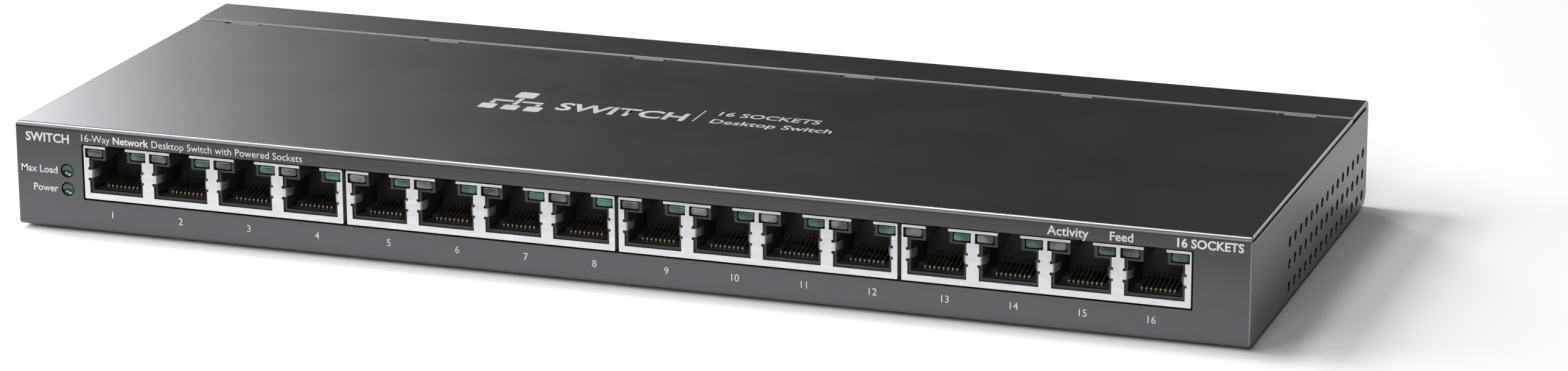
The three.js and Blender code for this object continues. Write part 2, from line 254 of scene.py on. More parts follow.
def finish_piece(obj, name, materials, replaced=(), angle=40):
    """Names a piece, turns it into metres, gives it its materials and lets it ride on the root."""
    shade(obj, angle)
    obj.name = name
    obj.data.name = name
    obj.data.transform(Matrix.Scale(MM, 4))
    indices = [polygon.material_index for polygon in obj.data.polygons]
    obj.data.materials.clear()
    for material in materials:
        obj.data.materials.append(material)
    last = len(materials) - 1
    for polygon, index in zip(obj.data.polygons, indices):
        polygon.material_index = min(index, last)
    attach(obj, "root")
    if replaced:
        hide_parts(*replaced)


# ------------------------------------------------------------------ materials
NOISE_LOW, NOISE_HIGH = 0.3, 0.7  # the range that most of a noise's values lie in
PAINT_IOR = 2.1  # high, for the strong sheen of a satin powder coat


class Nodes:
    """A material's node tree with one Principled shader."""

    def __init__(self, name, color, roughness, metallic=0.0):
        self.material = bpy.data.materials.new(name)
        self.material.use_nodes = True
        self.tree = self.material.node_tree
        self.shader = self.tree.nodes["Principled BSDF"]
        self.shader.inputs["Base Color"].default_value = (*color, 1)
        self.shader.inputs["Roughness"].default_value = roughness
        self.shader.inputs["Metallic"].default_value = metallic
        self.place = self.tree.nodes.new("ShaderNodeTexCoord").outputs["Object"]

    def link(self, source, target):
        """Joins an output to an input."""
        self.tree.links.new(source, target)

    def noise(self, scale, detail=3.0, roughness=0.5, stretch=None):
        """Noise in object space; scale is in features per metre."""
        node = self.tree.nodes.new("ShaderNodeTexNoise")
        node.inputs["Scale"].default_value = scale
        node.inputs["Detail"].default_value = detail
        node.inputs["Roughness"].default_value = roughness
        source = self.place
        if stretch:
            mapping = self.tree.nodes.new("ShaderNodeMapping")
            mapping.inputs["Scale"].default_value = stretch
            self.link(source, mapping.inputs["Vector"])
            source = mapping.outputs["Vector"]
        self.link(source, node.inputs["Vector"])
        return node.outputs["Fac"]

    def ramp(self, source, stops):
        """Colour ramp over a value; stops are (position, colour)."""
        node = self.tree.nodes.new("ShaderNodeValToRGB")
        elements = node.color_ramp.elements
        while len(elements) < len(stops):
            elements.new(0.5)
        for element, (position, color) in zip(elements, stops):
            element.position = position
            element.color = (*color, 1)
        self.link(source, node.inputs["Fac"])
        return node.outputs["Color"]

    def tone(self, source, *colors):
        """Lets the base colour wander over two or more colours with a noise."""
        step = (NOISE_HIGH - NOISE_LOW) / (len(colors) - 1)
        stops = [(NOISE_LOW + step * i, color) for i, color in enumerate(colors)]
        self.link(self.ramp(source, stops), self.shader.inputs["Base Color"])

    def gloss(self, source, low, high):
        """Lets the roughness wander between two values with a noise."""
        node = self.tree.nodes.new("ShaderNodeMapRange")
        node.inputs["From Min"].default_value = NOISE_LOW
        node.inputs["From Max"].default_value = NOISE_HIGH
        node.inputs["To Min"].default_value = low
        node.inputs["To Max"].default_value = high
        self.link(source, node.inputs["Value"])
        self.link(node.outputs["Result"], self.shader.inputs["Roughness"])

    def bump(self, source, strength, distance, previous=None):
        """Adds small relief, over an earlier one if there is one; distance is in metres."""
        node = self.tree.nodes.new("ShaderNodeBump")
        node.inputs["Strength"].default_value = strength
        node.inputs["Distance"].default_value = distance
        self.link(source, node.inputs["Height"])
        if previous:
            self.link(previous, node.inputs["Normal"])
        self.link(node.outputs["Normal"], self.shader.inputs["Normal"])
        return node.outputs["Normal"]


def tinted(color, factor):
    """The same colour, lighter or darker."""
    return tuple(channel * factor for channel in color)


def paint_material(name, color, roughness, metallic=0.0):
    """Satin powder coat: orange-peel bump, faint cloudiness, slightly uneven gloss."""
    nodes = Nodes(name, color, roughness, metallic)
    nodes.shader.inputs["IOR"].default_value = PAINT_IOR
    nodes.shader.inputs["Specular Tint"].default_value = (0.95, 0.965, 1.0, 1)
    cloud = nodes.noise(38, 4, 0.6)
    nodes.tone(cloud, tinted(color, 0.94), tinted(color, 1.06))
    nodes.gloss(cloud, roughness - 0.01, roughness + 0.01)
    peel = nodes.bump(nodes.noise(900, 2, 0.4), 0.10, 0.00012)
    nodes.bump(nodes.noise(2600, 2, 0.5), 0.16, 0.00003, peel)
    return nodes.material


def metal_material(name, color, roughness, grain=900, stretch=(1, 1, 1), strength=0.12):
    """Bare or plated metal: fine streaks in colour, gloss and relief, drawn out along an axis."""
    nodes = Nodes(name, color, roughness, 1.0)
    streak = nodes.noise(grain, 4, 0.6, stretch)
    nodes.tone(streak, tinted(color, 0.86), tinted(color, 1.04))
    nodes.gloss(streak, roughness - 0.05, roughness + 0.08)
    nodes.bump(streak, strength, 0.00005)
    return nodes.material


def plastic_material(name, color, roughness, grain=3200, bump=0.18):
    """Moulded plastic, rubber or ink: a fine grain, and a colour that drifts a little."""
    nodes = Nodes(name, color, roughness)
    speck = nodes.noise(grain, 2, 0.5)
    nodes.tone(nodes.noise(160, 3, 0.5), tinted(color, 0.85), tinted(color, 1.15))
    nodes.gloss(speck, roughness - 0.05, roughness + 0.07)
    nodes.bump(speck, bump, 0.00003)
    return nodes.material


def lens_material(name, color, roughness=0.22, coat=0.5):
    """Moulded light guide, unlit: tinted and glossy, with cloudy scatter inside."""
    nodes = Nodes(name, color, roughness)
    nodes.tone(nodes.noise(330, 2, 0.4), tinted(color, 0.25), color, tinted(color, 2.2))
    nodes.shader.inputs["Coat Weight"].default_value = coat
    nodes.shader.inputs["Coat Roughness"].default_value = 0.1
    nodes.bump(nodes.noise(1500, 2, 0.5), 0.1, 0.00004)
    return nodes.material


def board_material():
    """Green solder mask over copper tracks that show as faint raised lines."""
    nodes = Nodes("board_laminate", (0.015, 0.10, 0.045), 0.35)
    tracks = nodes.tree.nodes.new("ShaderNodeTexBrick")
    tracks.inputs["Scale"].default_value = 160
    tracks.inputs["Mortar Size"].default_value = 0.03
    tracks.inputs["Color1"].default_value = (0.012, 0.085, 0.038, 1)
    tracks.inputs["Color2"].default_value = (0.016, 0.11, 0.05, 1)
    tracks.inputs["Mortar"].default_value = (0.03, 0.19, 0.085, 1)
    nodes.link(nodes.place, tracks.inputs["Vector"])
    nodes.link(tracks.outputs["Color"], nodes.shader.inputs["Base Color"])
    nodes.bump(tracks.outputs["Fac"], 0.2, 0.00005)
    return nodes.material


MATERIAL = {
    "paint": paint_material("case_paint", (0.0080, 0.0083, 0.0089), 0.36),
    # Paler, metallic paint on the case's folds and upper bevels: a painted highlight.
    "edge": paint_material("case_paint_edge_highlight", (0.34, 0.35, 0.37), 0.34, 0.85),
    # Less pale paint for upright edges and the strip's front face: a fainter painted highlight.
    "soft_highlight": paint_material("case_paint_soft_highlight", (0.20, 0.205, 0.215), 0.30, 0.6),
    # Pale grey paint for the strip's edge at the hooks: a painted highlight.
    "hook_highlight": paint_material("case_paint_hook_highlight", (0.36, 0.36, 0.37), 0.45),
    "tin": metal_material("tin_plate", (0.88, 0.87, 0.88), 0.36, 700, (0.3, 1, 1), 0.03),
    "tin_edge": metal_material("tin_plate_edge", (0.86, 0.86, 0.86), 0.32, 700, (0.3, 1, 1), 0.02),
    "black": plastic_material("black_plastic", (0.030, 0.027, 0.027), 0.42),
    # Paler plastic for the bevels of the socket housings: a painted highlight.
    "black_highlight": plastic_material("black_plastic_highlight", (0.075, 0.072, 0.074), 0.35),
    "gold": metal_material("gold_contact", (0.27, 0.205, 0.135), 0.45, 1500, (1, 0.1, 0.1), 0.06),
    "clear": lens_material("clear_light", (0.098, 0.092, 0.095)),
    "green": lens_material("green_light", (0.018, 0.086, 0.046)),
    "green_glossy": lens_material("green_light_guide", (0.010, 0.060, 0.036), 0.12, 1.0),
    "ink": plastic_material("print_ink", (0.62, 0.62, 0.63), 0.55, 2500, 0.1),
    "ink_grey": plastic_material("print_ink_grey", (0.50, 0.50, 0.51), 0.45, 2500, 0.1),
    "zinc": metal_material("zinc_plate", (0.60, 0.61, 0.62), 0.3, 900),
    "aluminium": metal_material("bare_aluminium", (0.72, 0.73, 0.75), 0.35, 500, (1, 0.2, 1)),
    "rubber": plastic_material("foot_rubber", (0.013, 0.013, 0.013), 0.85, 1400, 0.5),
    "chip": plastic_material("chip_resin", (0.016, 0.016, 0.017), 0.6, 2200, 0.3),
    "pad": plastic_material("pad_silicone", (0.26, 0.34, 0.42), 0.8, 1500, 0.3),
    "board": board_material(),
}
SLOT_LOOK = {
    "case_paint": "paint", "tin_plate": "tin", "black_plastic": "black", "gold_contact": "gold",
    "clear_light": "clear", "green_light": "green", "board_laminate": "board", "chip_resin": "chip",
    "bare_aluminium": "aluminium", "zinc_screw": "zinc", "foot_rubber": "rubber", "pad_silicone": "pad",
}
# Plain paint, then the painted highlights: pale, fainter, and at the hooks.
CASE_LOOKS = ("paint", "edge", "soft_highlight", "hook_highlight")


def case_looks(last):
    """Materials of a painted sheet's slots, up to the last one that it uses."""
    return [MATERIAL[look] for look in CASE_LOOKS[:last + 1]]


# ------------------------------------------------------------------ case
SHEET = 1.0
GAP = 0.3
PAST = 1.0  # how far a cut runs past the surface that it opens
COVER_LOW, COVER_HIGH = node_mm("front_top_cover")
SHELL_LOW, SHELL_HIGH = node_mm("chassis")
BASE = SHELL_LOW.z
SIDE = COVER_HIGH.x
FRONT = COVER_LOW.y
REAR = SHELL_HIGH.y
COVER_TOP = COVER_HIGH.z
COVER_UNDER = COVER_TOP - SHEET
STRIP_TOP = SHELL_HIGH.z
STRIP_DEPTH = 16.1
SEAM = REAR - STRIP_DEPTH
INNER_FRONT = FRONT + SHEET
CUT_START = FRONT - 5  # well in front of everything, where long cuts begin
TOP_BEND = 1.25
LOW_BEND = 3.0
EDGE_ROUND = 0.08  # of the edges that holes leave

HOOK_PITCH = 52.3
HOOK_COUNT = 6
HOOK_W = 7.5
HOOK_RELIEF = 1.0  # notch on each side of a hook
HOOK_BACK = 2.6  # how far in front of the cover's edge a hook's root starts
HOOK_FOLD = 1.1  # where its fold down begins
HOOK_REACH = 6.5  # how far it reaches behind the edge
HOOKS = [(i - (HOOK_COUNT - 1) / 2) * HOOK_PITCH for i in range(HOOK_COUNT)]

BLOCK_BOXES = [node_mm(f"jack_shield_{number}") for number in (1, 2, 3, 4)]
BLOCK_FRONT = BLOCK_BOXES[0][0].y
BLOCK_Z = BLOCK_BOXES[0][0].z
BLOCK_TOP = BLOCK_BOXES[0][1].z
BLOCK_D = BLOCK_BOXES[0][1].y - BLOCK_FRONT
PORTS = 4
PORT_PITCH = 15.88
ARRAY_X = (BLOCK_BOXES[0][0].x + BLOCK_BOXES[-1][1].x) / 2
WINDOW_HALF = (BLOCK_BOXES[-1][1].x - BLOCK_BOXES[0][0].x) / 2 + 0.4
WINDOW_Z = (BLOCK_Z - 0.35, BLOCK_TOP + GAP)
WINDOW_ROUND = 0.35

PIPE_BOXES = {name: node_mm(name) for name in ("power_light_pipe", "load_light_pipe")}
PIPE_R = 1.4
PIPE_CLEAR = 0.2
STATUS_X = (PIPE_BOXES["power_light_pipe"][0].x + PIPE_BOXES["power_light_pipe"][1].x) / 2
STATUS_Z = {name: high.z - 1.6 for name, (low, high) in PIPE_BOXES.items()}

COVER_SCREWS = [(low + high) / 2 for low, high in (node_mm(f"cover_screw_{n}") for n in (1, 2, 3))]
COVER_SCREW_HOLE_R = 1.7
SHELL_SCREW_HOLE_R = 1.6
FLANGE_BACK = FRONT + 9.4
STEP_Z = BASE + SHEET + GAP
VENT_R = 1.2
VENT_COLUMNS = 15
VENT_PITCH_Y = 5.13
VENT_FIRST_Y = FRONT + 35.2
VENT_ROWS = (3.95, 9.0, 14.0)
INLET_LOW, INLET_HIGH = node_mm("dc_inlet")
INLET_X = (INLET_LOW.x + INLET_HIGH.x) / 2
INLET_Z = INLET_HIGH.z - 5
INLET_HOLE_R = 4.4
BOARD_SCREWS = [(low + high) / 2 for low, high in (node_mm(f"board_screw_{n}") for n in range(1, 7))]
BOARD_UNDER = node_mm("main_board")[0].z
STANDOFF_R = 3.0
KEYHOLES = ((-75, 8), (75, 8))
KEYHOLE_R = 3.75
KEYHOLE_SLOT_HALF = 2.1
KEYHOLE_SLOT_LENGTH = 9
KEYHOLE_SLOT_ROUND = 2.05


def make_cover():
    """Front and top panel, folded from one sheet, with hooks that reach under the rear strip."""
    foot_bend = 0.7
    fold_round = 0.3
    edge = SEAM - GAP
    profile = [(INNER_FRONT, COVER_UNDER), (edge, COVER_UNDER), (edge, COVER_TOP)]
    profile += arc(FRONT + TOP_BEND, COVER_TOP - TOP_BEND, TOP_BEND, 90, 180, 10)
    profile += arc(FRONT + foot_bend, BASE + foot_bend, foot_bend, 180, 270, 6)
    profile.append((INNER_FRONT, BASE))
    body = solid((profile, "x", -SIDE, SIDE))
    relief_half = HOOK_W / 2 + HOOK_RELIEF
    relief_y = (edge - HOOK_FOLD, edge + PAST)
    relief_z = (COVER_UNDER - PAST, COVER_TOP + PAST)
    cut(body, *[block(around(x, relief_half), relief_y, relief_z) for x in HOOKS])
    start, end = edge - HOOK_BACK, edge + HOOK_REACH
    hook = [(start, COVER_UNDER - SHEET), (end, COVER_UNDER - SHEET), (end, COVER_UNDER)]
    hook += [(edge - 0.2, COVER_UNDER), (edge - HOOK_FOLD, COVER_TOP), (start, COVER_TOP)]
    for x in HOOKS:
        fuse(body, (hook, "x", x - HOOK_W / 2, x + HOOK_W / 2))
    flange_half = SIDE - SHEET - 0.4
    flange_start = INNER_FRONT - 0.1
    fuse(body, block(around(0, flange_half), (flange_start, FLANGE_BACK), (BASE, BASE + SHEET)))
    work_slots(body)
    mark_bend(body)
    soften(body, fold_round, 3, EDGE)
    # The pale painted highlight stays on the upper edges: the panel's upright ends get a fainter painted
    # highlight, and the foot and the underside plain paint.
    swap_slot(body, BASE + 1.2, EDGE, PLAIN)
    swap_slot(body, COVER_TOP - 1.6, EDGE, SOFT_HIGHLIGHT)
    swap_slot(body, COVER_TOP - 0.55, EDGE, PLAIN)
    panel = (FRONT - PAST, INNER_FRONT + PAST)
    window = block(around(ARRAY_X, WINDOW_HALF), panel, WINDOW_Z, WINDOW_ROUND)
    lights = [(circle(STATUS_X, z, PIPE_R + PIPE_CLEAR, 28), "y", *panel) for z in STATUS_Z.values()]
    sheet = (BASE - PAST, BASE + 2)
    screws = [(circle(spot.x, spot.y, COVER_SCREW_HOLE_R, 24), "z", *sheet) for spot in COVER_SCREWS]
    cut(body, window, *lights, *screws)
    soften(body, EDGE_ROUND)
    finish_piece(body, "front_top_cover_skin", case_looks(SOFT_HIGHLIGHT), ["front_top_cover"])


def shell_outside(wall_top):
    """Side view of the chassis: base, rear wall and strip, and side walls up to a height."""
    lip = 0.4
    wall_front = INNER_FRONT + GAP
    outline = [(wall_front, BASE)] + arc(REAR - LOW_BEND, BASE + LOW_BEND, LOW_BEND, -90, 0, 10)
    outline += arc(REAR - TOP_BEND, STRIP_TOP - TOP_BEND, TOP_BEND, 0, 90, 8)
    outline += arc(SEAM + lip, STRIP_TOP - lip, lip, 90, 180, 5)
    return outline + [(SEAM, wall_top), (wall_front, wall_top)]


def shell_inside():
    """Side view of the space in the chassis, whose floor steps up at the front over the cover's flange."""
    step = STEP_Z + SHEET
    outline = [(CUT_START, step), (FLANGE_BACK + 1, step), (FLANGE_BACK + 2, BASE + SHEET)]
    outline += arc(REAR - LOW_BEND, BASE + LOW_BEND, LOW_BEND - SHEET, -90, 0, 8)
    return outline + [(REAR - SHEET, STRIP_TOP - SHEET), (CUT_START, STRIP_TOP - SHEET)]


def shell_holes():
    """Side vents, the inlet's hole and the screw holes."""
    holes = [(circle(VENT_FIRST_Y + column * VENT_PITCH_Y, z, VENT_R, 24), "x", -SIDE - 2, SIDE + 2)
             for z in VENT_ROWS for column in range(VENT_COLUMNS)]
    holes.append((circle(INLET_X, INLET_Z, INLET_HOLE_R, 40), "y", REAR - 3, REAR + 2))
    for spots, low, high in ((COVER_SCREWS, BASE, STEP_Z + 3), (BOARD_SCREWS, BASE - PAST, BOARD_UNDER)):
        holes += [(circle(spot.x, spot.y, SHELL_SCREW_HOLE_R, 24), "z", low, high) for spot in spots]
    return holes


def cut_keyholes(body):
    """Hanging slots in the base: a round hole for a screw's head and a slot for its shank."""
    for x, y in KEYHOLES:
        cut(body, (circle(x, y, KEYHOLE_R, 32), "z", BASE - PAST, BASE + 2))
        slot = rect(*around(x, KEYHOLE_SLOT_HALF), y, y + KEYHOLE_SLOT_LENGTH, KEYHOLE_SLOT_ROUND, 6)
        cut(body, (slot, "z", BASE - PAST, BASE + 2))


def make_chassis():
    """Base, side walls, rear wall and rear top strip, folded from one sheet."""
    wall_top = COVER_UNDER - 2 * GAP
    wall_round = 0.25
    slit_end = REAR - 1.6
    body = solid((shell_outside(wall_top), "x", -SIDE, SIDE))
    cut(body, (shell_inside(), "x", -SIDE + SHEET, SIDE - SHEET))
    cut(body, block(around(0, SIDE - SHEET), (CUT_START, FLANGE_BACK + 0.4), (BASE - 2, STEP_Z)))
    # A slit parts each side wall from the rear strip over it, nearly back to the rear wall.
    for sign in (-1, 1):
        slit = sorted((sign * (SIDE - SHEET - 0.2), sign * (SIDE + PAST)))
        cut(body, block(slit, (SEAM - PAST, slit_end), (wall_top, STRIP_TOP - SHEET)))
    for spot in BOARD_SCREWS:
        fuse(body, (circle(spot.x, spot.y, STANDOFF_R, 32), "z", BASE + 0.5, BOARD_UNDER - GAP))
    work_slots(body)
    # The strip's upright front face gets a fainter painted highlight; bevels above the side walls keep the
    # pale painted highlight, lower ones plain paint.
    mark_wall(body, SEAM, SOFT_HIGHLIGHT)
    soften(body, wall_round, 3, EDGE)
    swap_slot(body, wall_top + 0.05, EDGE, PLAIN)
    cut(body, *shell_holes())
    cut_keyholes(body)
    soften(body, EDGE_ROUND)
    # A thin pale sliver on the strip's front edge where the cover's hooks slide under it: a painted
    # highlight.
    rub = 0.05
    rub_z = (STRIP_TOP - 0.75, STRIP_TOP - 0.2)
    for x in HOOKS:
        fuse(body, block(around(x, HOOK_W / 2), (SEAM - rub, SEAM + 0.3), rub_z))
    mark_wall(body, SEAM - rub, HOOK_HIGHLIGHT)
    finish_piece(body, "chassis_shell", case_looks(HOOK_HIGHLIGHT), ["chassis"])


make_cover()
make_chassis()

# ------------------------------------------------------------------ socket blocks
# Levels are heights over the surface that the object stands on, and a HALF is half a width.
PLATE = 0.3
FACE_CUT = 0.5  # openings are cut this deep, right through the face plate
BAR_H = 1.4
TOP_BAR_H = 0.6
LIGHT_Z = 18.0
LIGHT_H = 1.9
OPEN_HALF = 6.54
LIGHT_HALF = 7.48
LATCH_HALF = 2.45
TAB_Z = (13.3, 15.2)
TAB_GAP = 0.6
CAVITY_HALF = 5.95
CAVITY_FLOOR = 10.6
CAVITY_TOP = 17.4
CAVITY_DEPTH = 12.5
LATCH_SLOT_HALF = 2.6
POCKET_PLACE = 5.38  # middle of a light guide's pocket, from the socket's middle
POCKET_HALF = 2.05
POCKET_DEPTH = 13.5
POCKET_Z = LIGHT_Z - 0.15
GUIDE_REACH = (3.45, 7.3)  # inner and outer side of a light guide, from the socket's middle
GUIDE_DEPTH = (0.35, 15.6)
WIRES = 8
WIRE_PITCH = 1.02
WIRE_HALF = 0.18
WIRE_THICK = 0.35


def depth(start, end):
    """Range along Y, measured back from the face of the socket blocks."""
    return (BLOCK_FRONT + start, BLOCK_FRONT + end)


def port_places(low, high):
    """Middles of a block's sockets along X."""
    middle = (low.x + high.x) / 2
    return [middle + (port - (PORTS - 1) / 2) * PORT_PITCH for port in range(PORTS)]


def wire_places(x):
    """Middles of the contact wires of the socket at x."""
    return [x + (i - (WIRES - 1) / 2) * WIRE_PITCH for i in range(WIRES)]


# A spring tongue's route, as (inward from the opening's side, back from the face).
TAB_ROUTE = ((-0.25, 0.15), (0.0, 0.15), (0.22, 0.22), (0.42, 0.45), (0.72, 1.0), (1.02, 1.8), (1.16, 2.5),
             (1.08, 3.2), (0.75, 4.1))
TAB_THICK = 0.26


def ribbon(route, thick):
    """Closed outline of a strip of even thickness along a route of (u, v) points."""
    left, right = [], []
    for i, point in enumerate(route):
        before = Vector(route[max(0, i - 1)])
        after = Vector(route[min(len(route) - 1, i + 1)])
        along = (after - before).normalized()
        normal = Vector((-along.y, along.x)) * thick / 2
        left.append(tuple(Vector(point) + normal))
        right.append(tuple(Vector(point) - normal))
    return left + right[::-1]


def spring_tab(x, side):
    """A tongue bent back from the shield's front edge into the socket, in the X-Y plane."""
    route = [(x + side * (OPEN_HALF - inward), BLOCK_FRONT + back) for inward, back in TAB_ROUTE]
    return ribbon(route, TAB_THICK)


def tab_notches(places):
    """Notches in each opening's sides, under and over its spring tongues."""
    levels = [(z, z + TAB_GAP) for z in (TAB_Z[0] - TAB_GAP, TAB_Z[1])]
    notches = []
    for x in places:
        for side in (-1, 1):
            reach = sorted((x + side * (OPEN_HALF - 0.2), x + side * (OPEN_HALF + 0.35)))
            notches += [block(reach, depth(-PAST, FACE_CUT), level) for level in levels]
    return notches


def make_shield(number, low, high):
    """Plated sheet box around four sockets, with spring tongues on each socket's walls."""
    places = port_places(low, high)
    face = depth(-PAST, FACE_CUT)
    top_bar = BLOCK_TOP - TOP_BAR_H
    corner = 0.25
    body = solid(block((low.x, high.x), depth(0, BLOCK_D), (BLOCK_Z, BLOCK_TOP), corner))
    hollow_x = (low.x + PLATE, high.x - PLATE)
    cut(body, block(hollow_x, depth(PLATE, BLOCK_D - PLATE), (BLOCK_Z - PAST, BLOCK_TOP - PLATE)))
    cut(body, *[block(around(x, OPEN_HALF), face, (BLOCK_Z + BAR_H, LIGHT_Z + 0.1)) for x in places])
    cut(body, *[block(around(x, LIGHT_HALF), face, (LIGHT_Z, top_bar)) for x in places])
    latch_z = (top_bar - 0.4, BLOCK_TOP + PAST)
    cut(body, *[block(around(x, LATCH_HALF), depth(-PAST, 3), latch_z) for x in places])
    cut(body, *tab_notches(places))
    for x in places:
        for side in (-1, 1):
            fuse(body, (spring_tab(x, side), "z", *TAB_Z))
    soften(body, 0.06, edge_slot=EDGE)
    looks = [MATERIAL["tin"], MATERIAL["tin_edge"]]
    finish_piece(body, f"jack_shield_skin_{number}", looks, [f"jack_shield_{number}"])


def make_housing(number, low, high):
    """Moulded body: plug cavities, latch slots, light pockets and wire slots."""
    places = port_places(low, high)
    left, right = low.x + PLATE + GAP, high.x - PLATE - GAP
    top = BLOCK_TOP - PLATE - GAP
    above = top + PAST
    body = solid(block((left, right), depth(0.6, BLOCK_D - PLATE - GAP), (BLOCK_Z, top)))
    cavity = depth(0, CAVITY_DEPTH)
    cut(body, *[block(around(x, CAVITY_HALF), cavity, (CAVITY_FLOOR, CAVITY_TOP)) for x in places])
    cut(body, *[block(around(x, LATCH_SLOT_HALF), cavity, (CAVITY_TOP - 0.1, above)) for x in places])
    pocket = depth(0, POCKET_DEPTH)
    pockets = [block(around(x + side * POCKET_PLACE, POCKET_HALF), pocket, (POCKET_Z, above))
               for x in places for side in (-1, 1)]
    cut(body, *pockets)
    cut(body, block((left - PAST, right + PAST), depth(13, BLOCK_D), (POCKET_Z, above)))
    carrier_z = (BLOCK_Z + 0.5, CAVITY_FLOOR + 0.01)
    cut(body, block((left + 0.3, right - 0.3), depth(2.3, 6.5), carrier_z))
    slot_z = (CAVITY_FLOOR - 0.8, CAVITY_FLOOR + 0.1)
    wires = [wire for x in places for wire in wire_places(x)]
    slot_half = 0.3
    cut(body, *[block(around(wire, slot_half), depth(6.4, 12.4), slot_z) for wire in wires])
    mouth = [(BLOCK_FRONT, CAVITY_FLOOR - 0.45), (BLOCK_FRONT + 1.2, CAVITY_FLOOR + 0.1),
             (BLOCK_FRONT, CAVITY_FLOOR + 0.1)]
    cut(body, *[(mouth, "x", x - CAVITY_HALF + 0.05, x + CAVITY_HALF - 0.05) for x in places])
    # The housing's bevels get paler plastic: a painted highlight along its edges.
    soften(body, 0.1, edge_slot=EDGE)
    looks = [MATERIAL["black"], MATERIAL["black_highlight"]]
    finish_piece(body, f"jack_housing_body_{number}", looks, [f"jack_housing_{number}"])


def wire_outline():
    """Side view of one contact wire: up out of the carrier, over the front bend, back and up."""
    # Points are (back from the face, height).
    route = [(3.35, 9.9)] + arc(3.85, 10.55, 0.5, 180, 95, 4)
    route += [(5.2, 11.28), (7.4, 11.72), (9.6, 12.2), (10.5, 12.36), (10.8, 12.3)]
    return ribbon([(BLOCK_FRONT + back, up) for back, up in route], WIRE_THICK)


def make_contacts(number, low, high):
    """Contact wires and the carrier that holds them."""
    replaced = [f"jack_contacts_{number}"]
    outline = wire_outline()
    wires = [(outline, "x", wire - WIRE_HALF, wire + WIRE_HALF)
             for x in port_places(low, high) for wire in wire_places(x)]
    body = solid(*wires)
    soften(body, 0.05)
    finish_piece(body, f"jack_wires_{number}", [MATERIAL["gold"]], replaced)
    reach = (low.x + PLATE + 2 * GAP + 0.3, high.x - PLATE - 2 * GAP - 0.3)
    carrier = solid(block(reach, depth(2.6, 4.7), (BLOCK_Z + 0.8, CAVITY_FLOOR - 0.25)))
    soften(carrier, 0.1)
    finish_piece(carrier, f"jack_wire_carrier_{number}", [MATERIAL["black"]], replaced)


def make_lights(number, low, high):
    """Two light guides over each socket, clear on the left and green on the right."""
    guide_z = (LIGHT_Z + 0.05, LIGHT_Z + 0.05 + LIGHT_H)
    for port, x in enumerate(port_places(low, high), 1):
        for side, look, slot in ((-1, "clear", "clear_light"), (1, "green", "green_light")):
            reach = sorted(x + side * end for end in GUIDE_REACH)
            guide = solid(block(reach, depth(*GUIDE_DEPTH), guide_z))
            soften(guide, 0.6, 6)
            name = f"socket_light_{look}_{number}_{port}"
            finish_piece(guide, name, [MATERIAL[look]], [f"jack_lights_{number}"])


for block_number, (box_low, box_high) in enumerate(BLOCK_BOXES, 1):
    make_shield(block_number, box_low, box_high)
    make_housing(block_number, box_low, box_high)
    make_contacts(block_number, box_low, box_high)
    make_lights(block_number, box_low, box_high)


# ------------------------------------------------------------------ turned pieces
QUARTER_TURN = (0.4, 0.8, 1.2, 1.57)  # steps round a small rounded edge, in radians
ROUND_ANGLE = 60  # a turned piece's edges stay smooth up to this angle


def turned(profile, x, y, z, axis="z", steps=48):
    """Closed body of revolution: profile points (radius, along), both ends on the axis."""
    place = AXES[axis]
    centre = Vector((x, y, z))
    angles = [2 * math.pi * step / steps for step in range(steps)]
    bm = bmesh.new()
    rings = []
    for radius, along in profile:
        spots = [(radius * math.cos(a), radius * math.sin(a)) for a in angles] if radius else [(0, 0)]
        rings.append([bm.verts.new(centre + Vector(place(u, v, along))) for u, v in spots])
    for ring, after in zip(rings, rings[1:]):
        for i in range(steps):
            j = (i + 1) % steps
            corners = [ring[i % len(ring)], ring[j % len(ring)]]
            corners += [after[j % len(after)], after[i % len(after)]]
            bm.faces.new(list(dict.fromkeys(corners)))
    bmesh.ops.recalc_face_normals(bm, faces=bm.faces[:])
    mesh = bpy.data.meshes.new("work")
    bm.to_mesh(mesh)
    bm.free()
    return link(mesh)


def dished_end(rim, bowl, face):
    """Profile of a hollowed round end: part of a bowl, from its middle out to a rim at a depth."""
    steps = 8
    tilt = math.asin(rim / bowl)
    deepest = face + bowl * (1 - math.cos(tilt))
    angles = [tilt * step / steps for step in range(1, steps + 1)]
    return [(0, deepest)] + [(bowl * math.sin(a), deepest - bowl * (1 - math.cos(a))) for a in angles]


def make_status_lights():
    """Round light guides with dished ends, sunk in their holes in the front panel."""
    foot = 2.6
    foot_half = 1.8
    bowl = 1.75
    rim = 0.12
    for name, (low, high) in PIPE_BOXES.items():
        back = high.y - foot
        profile = dished_end(PIPE_R - rim, bowl, BLOCK_FRONT + rim)
        profile += [(PIPE_R - 0.04, BLOCK_FRONT + 0.14), (PIPE_R, BLOCK_FRONT + 0.24)]
        profile += [(PIPE_R, back), (0, back)]
        body = turned(profile, STATUS_X, 0, STATUS_Z[name], "y", 32)
        fuse(body, block(around(STATUS_X, foot_half), (back - 0.4, back + foot), (low.z, high.z)))
        finish_piece(body, f"{name}_lens", [MATERIAL["green_glossy"]], [name])


def cross_recess(x, y, z, deep, reach, half=0.35):
    """Two crossing slots, cut from below."""
    return [(rect(x - reach, x + reach, y - half, y + half), "z", z, z + deep),
            (rect(x - half, x + half, y - reach, y + reach), "z", z, z + deep)]


def screw_thread(start, end, pitch=0.5, crest=1.3, root=1.1):
    """Profile of a row of V rings between two heights."""
    thread = []
    z = start
    while z < end:
        thread += [(crest, z), (root, z + pitch / 2)]
        z += pitch
    return thread


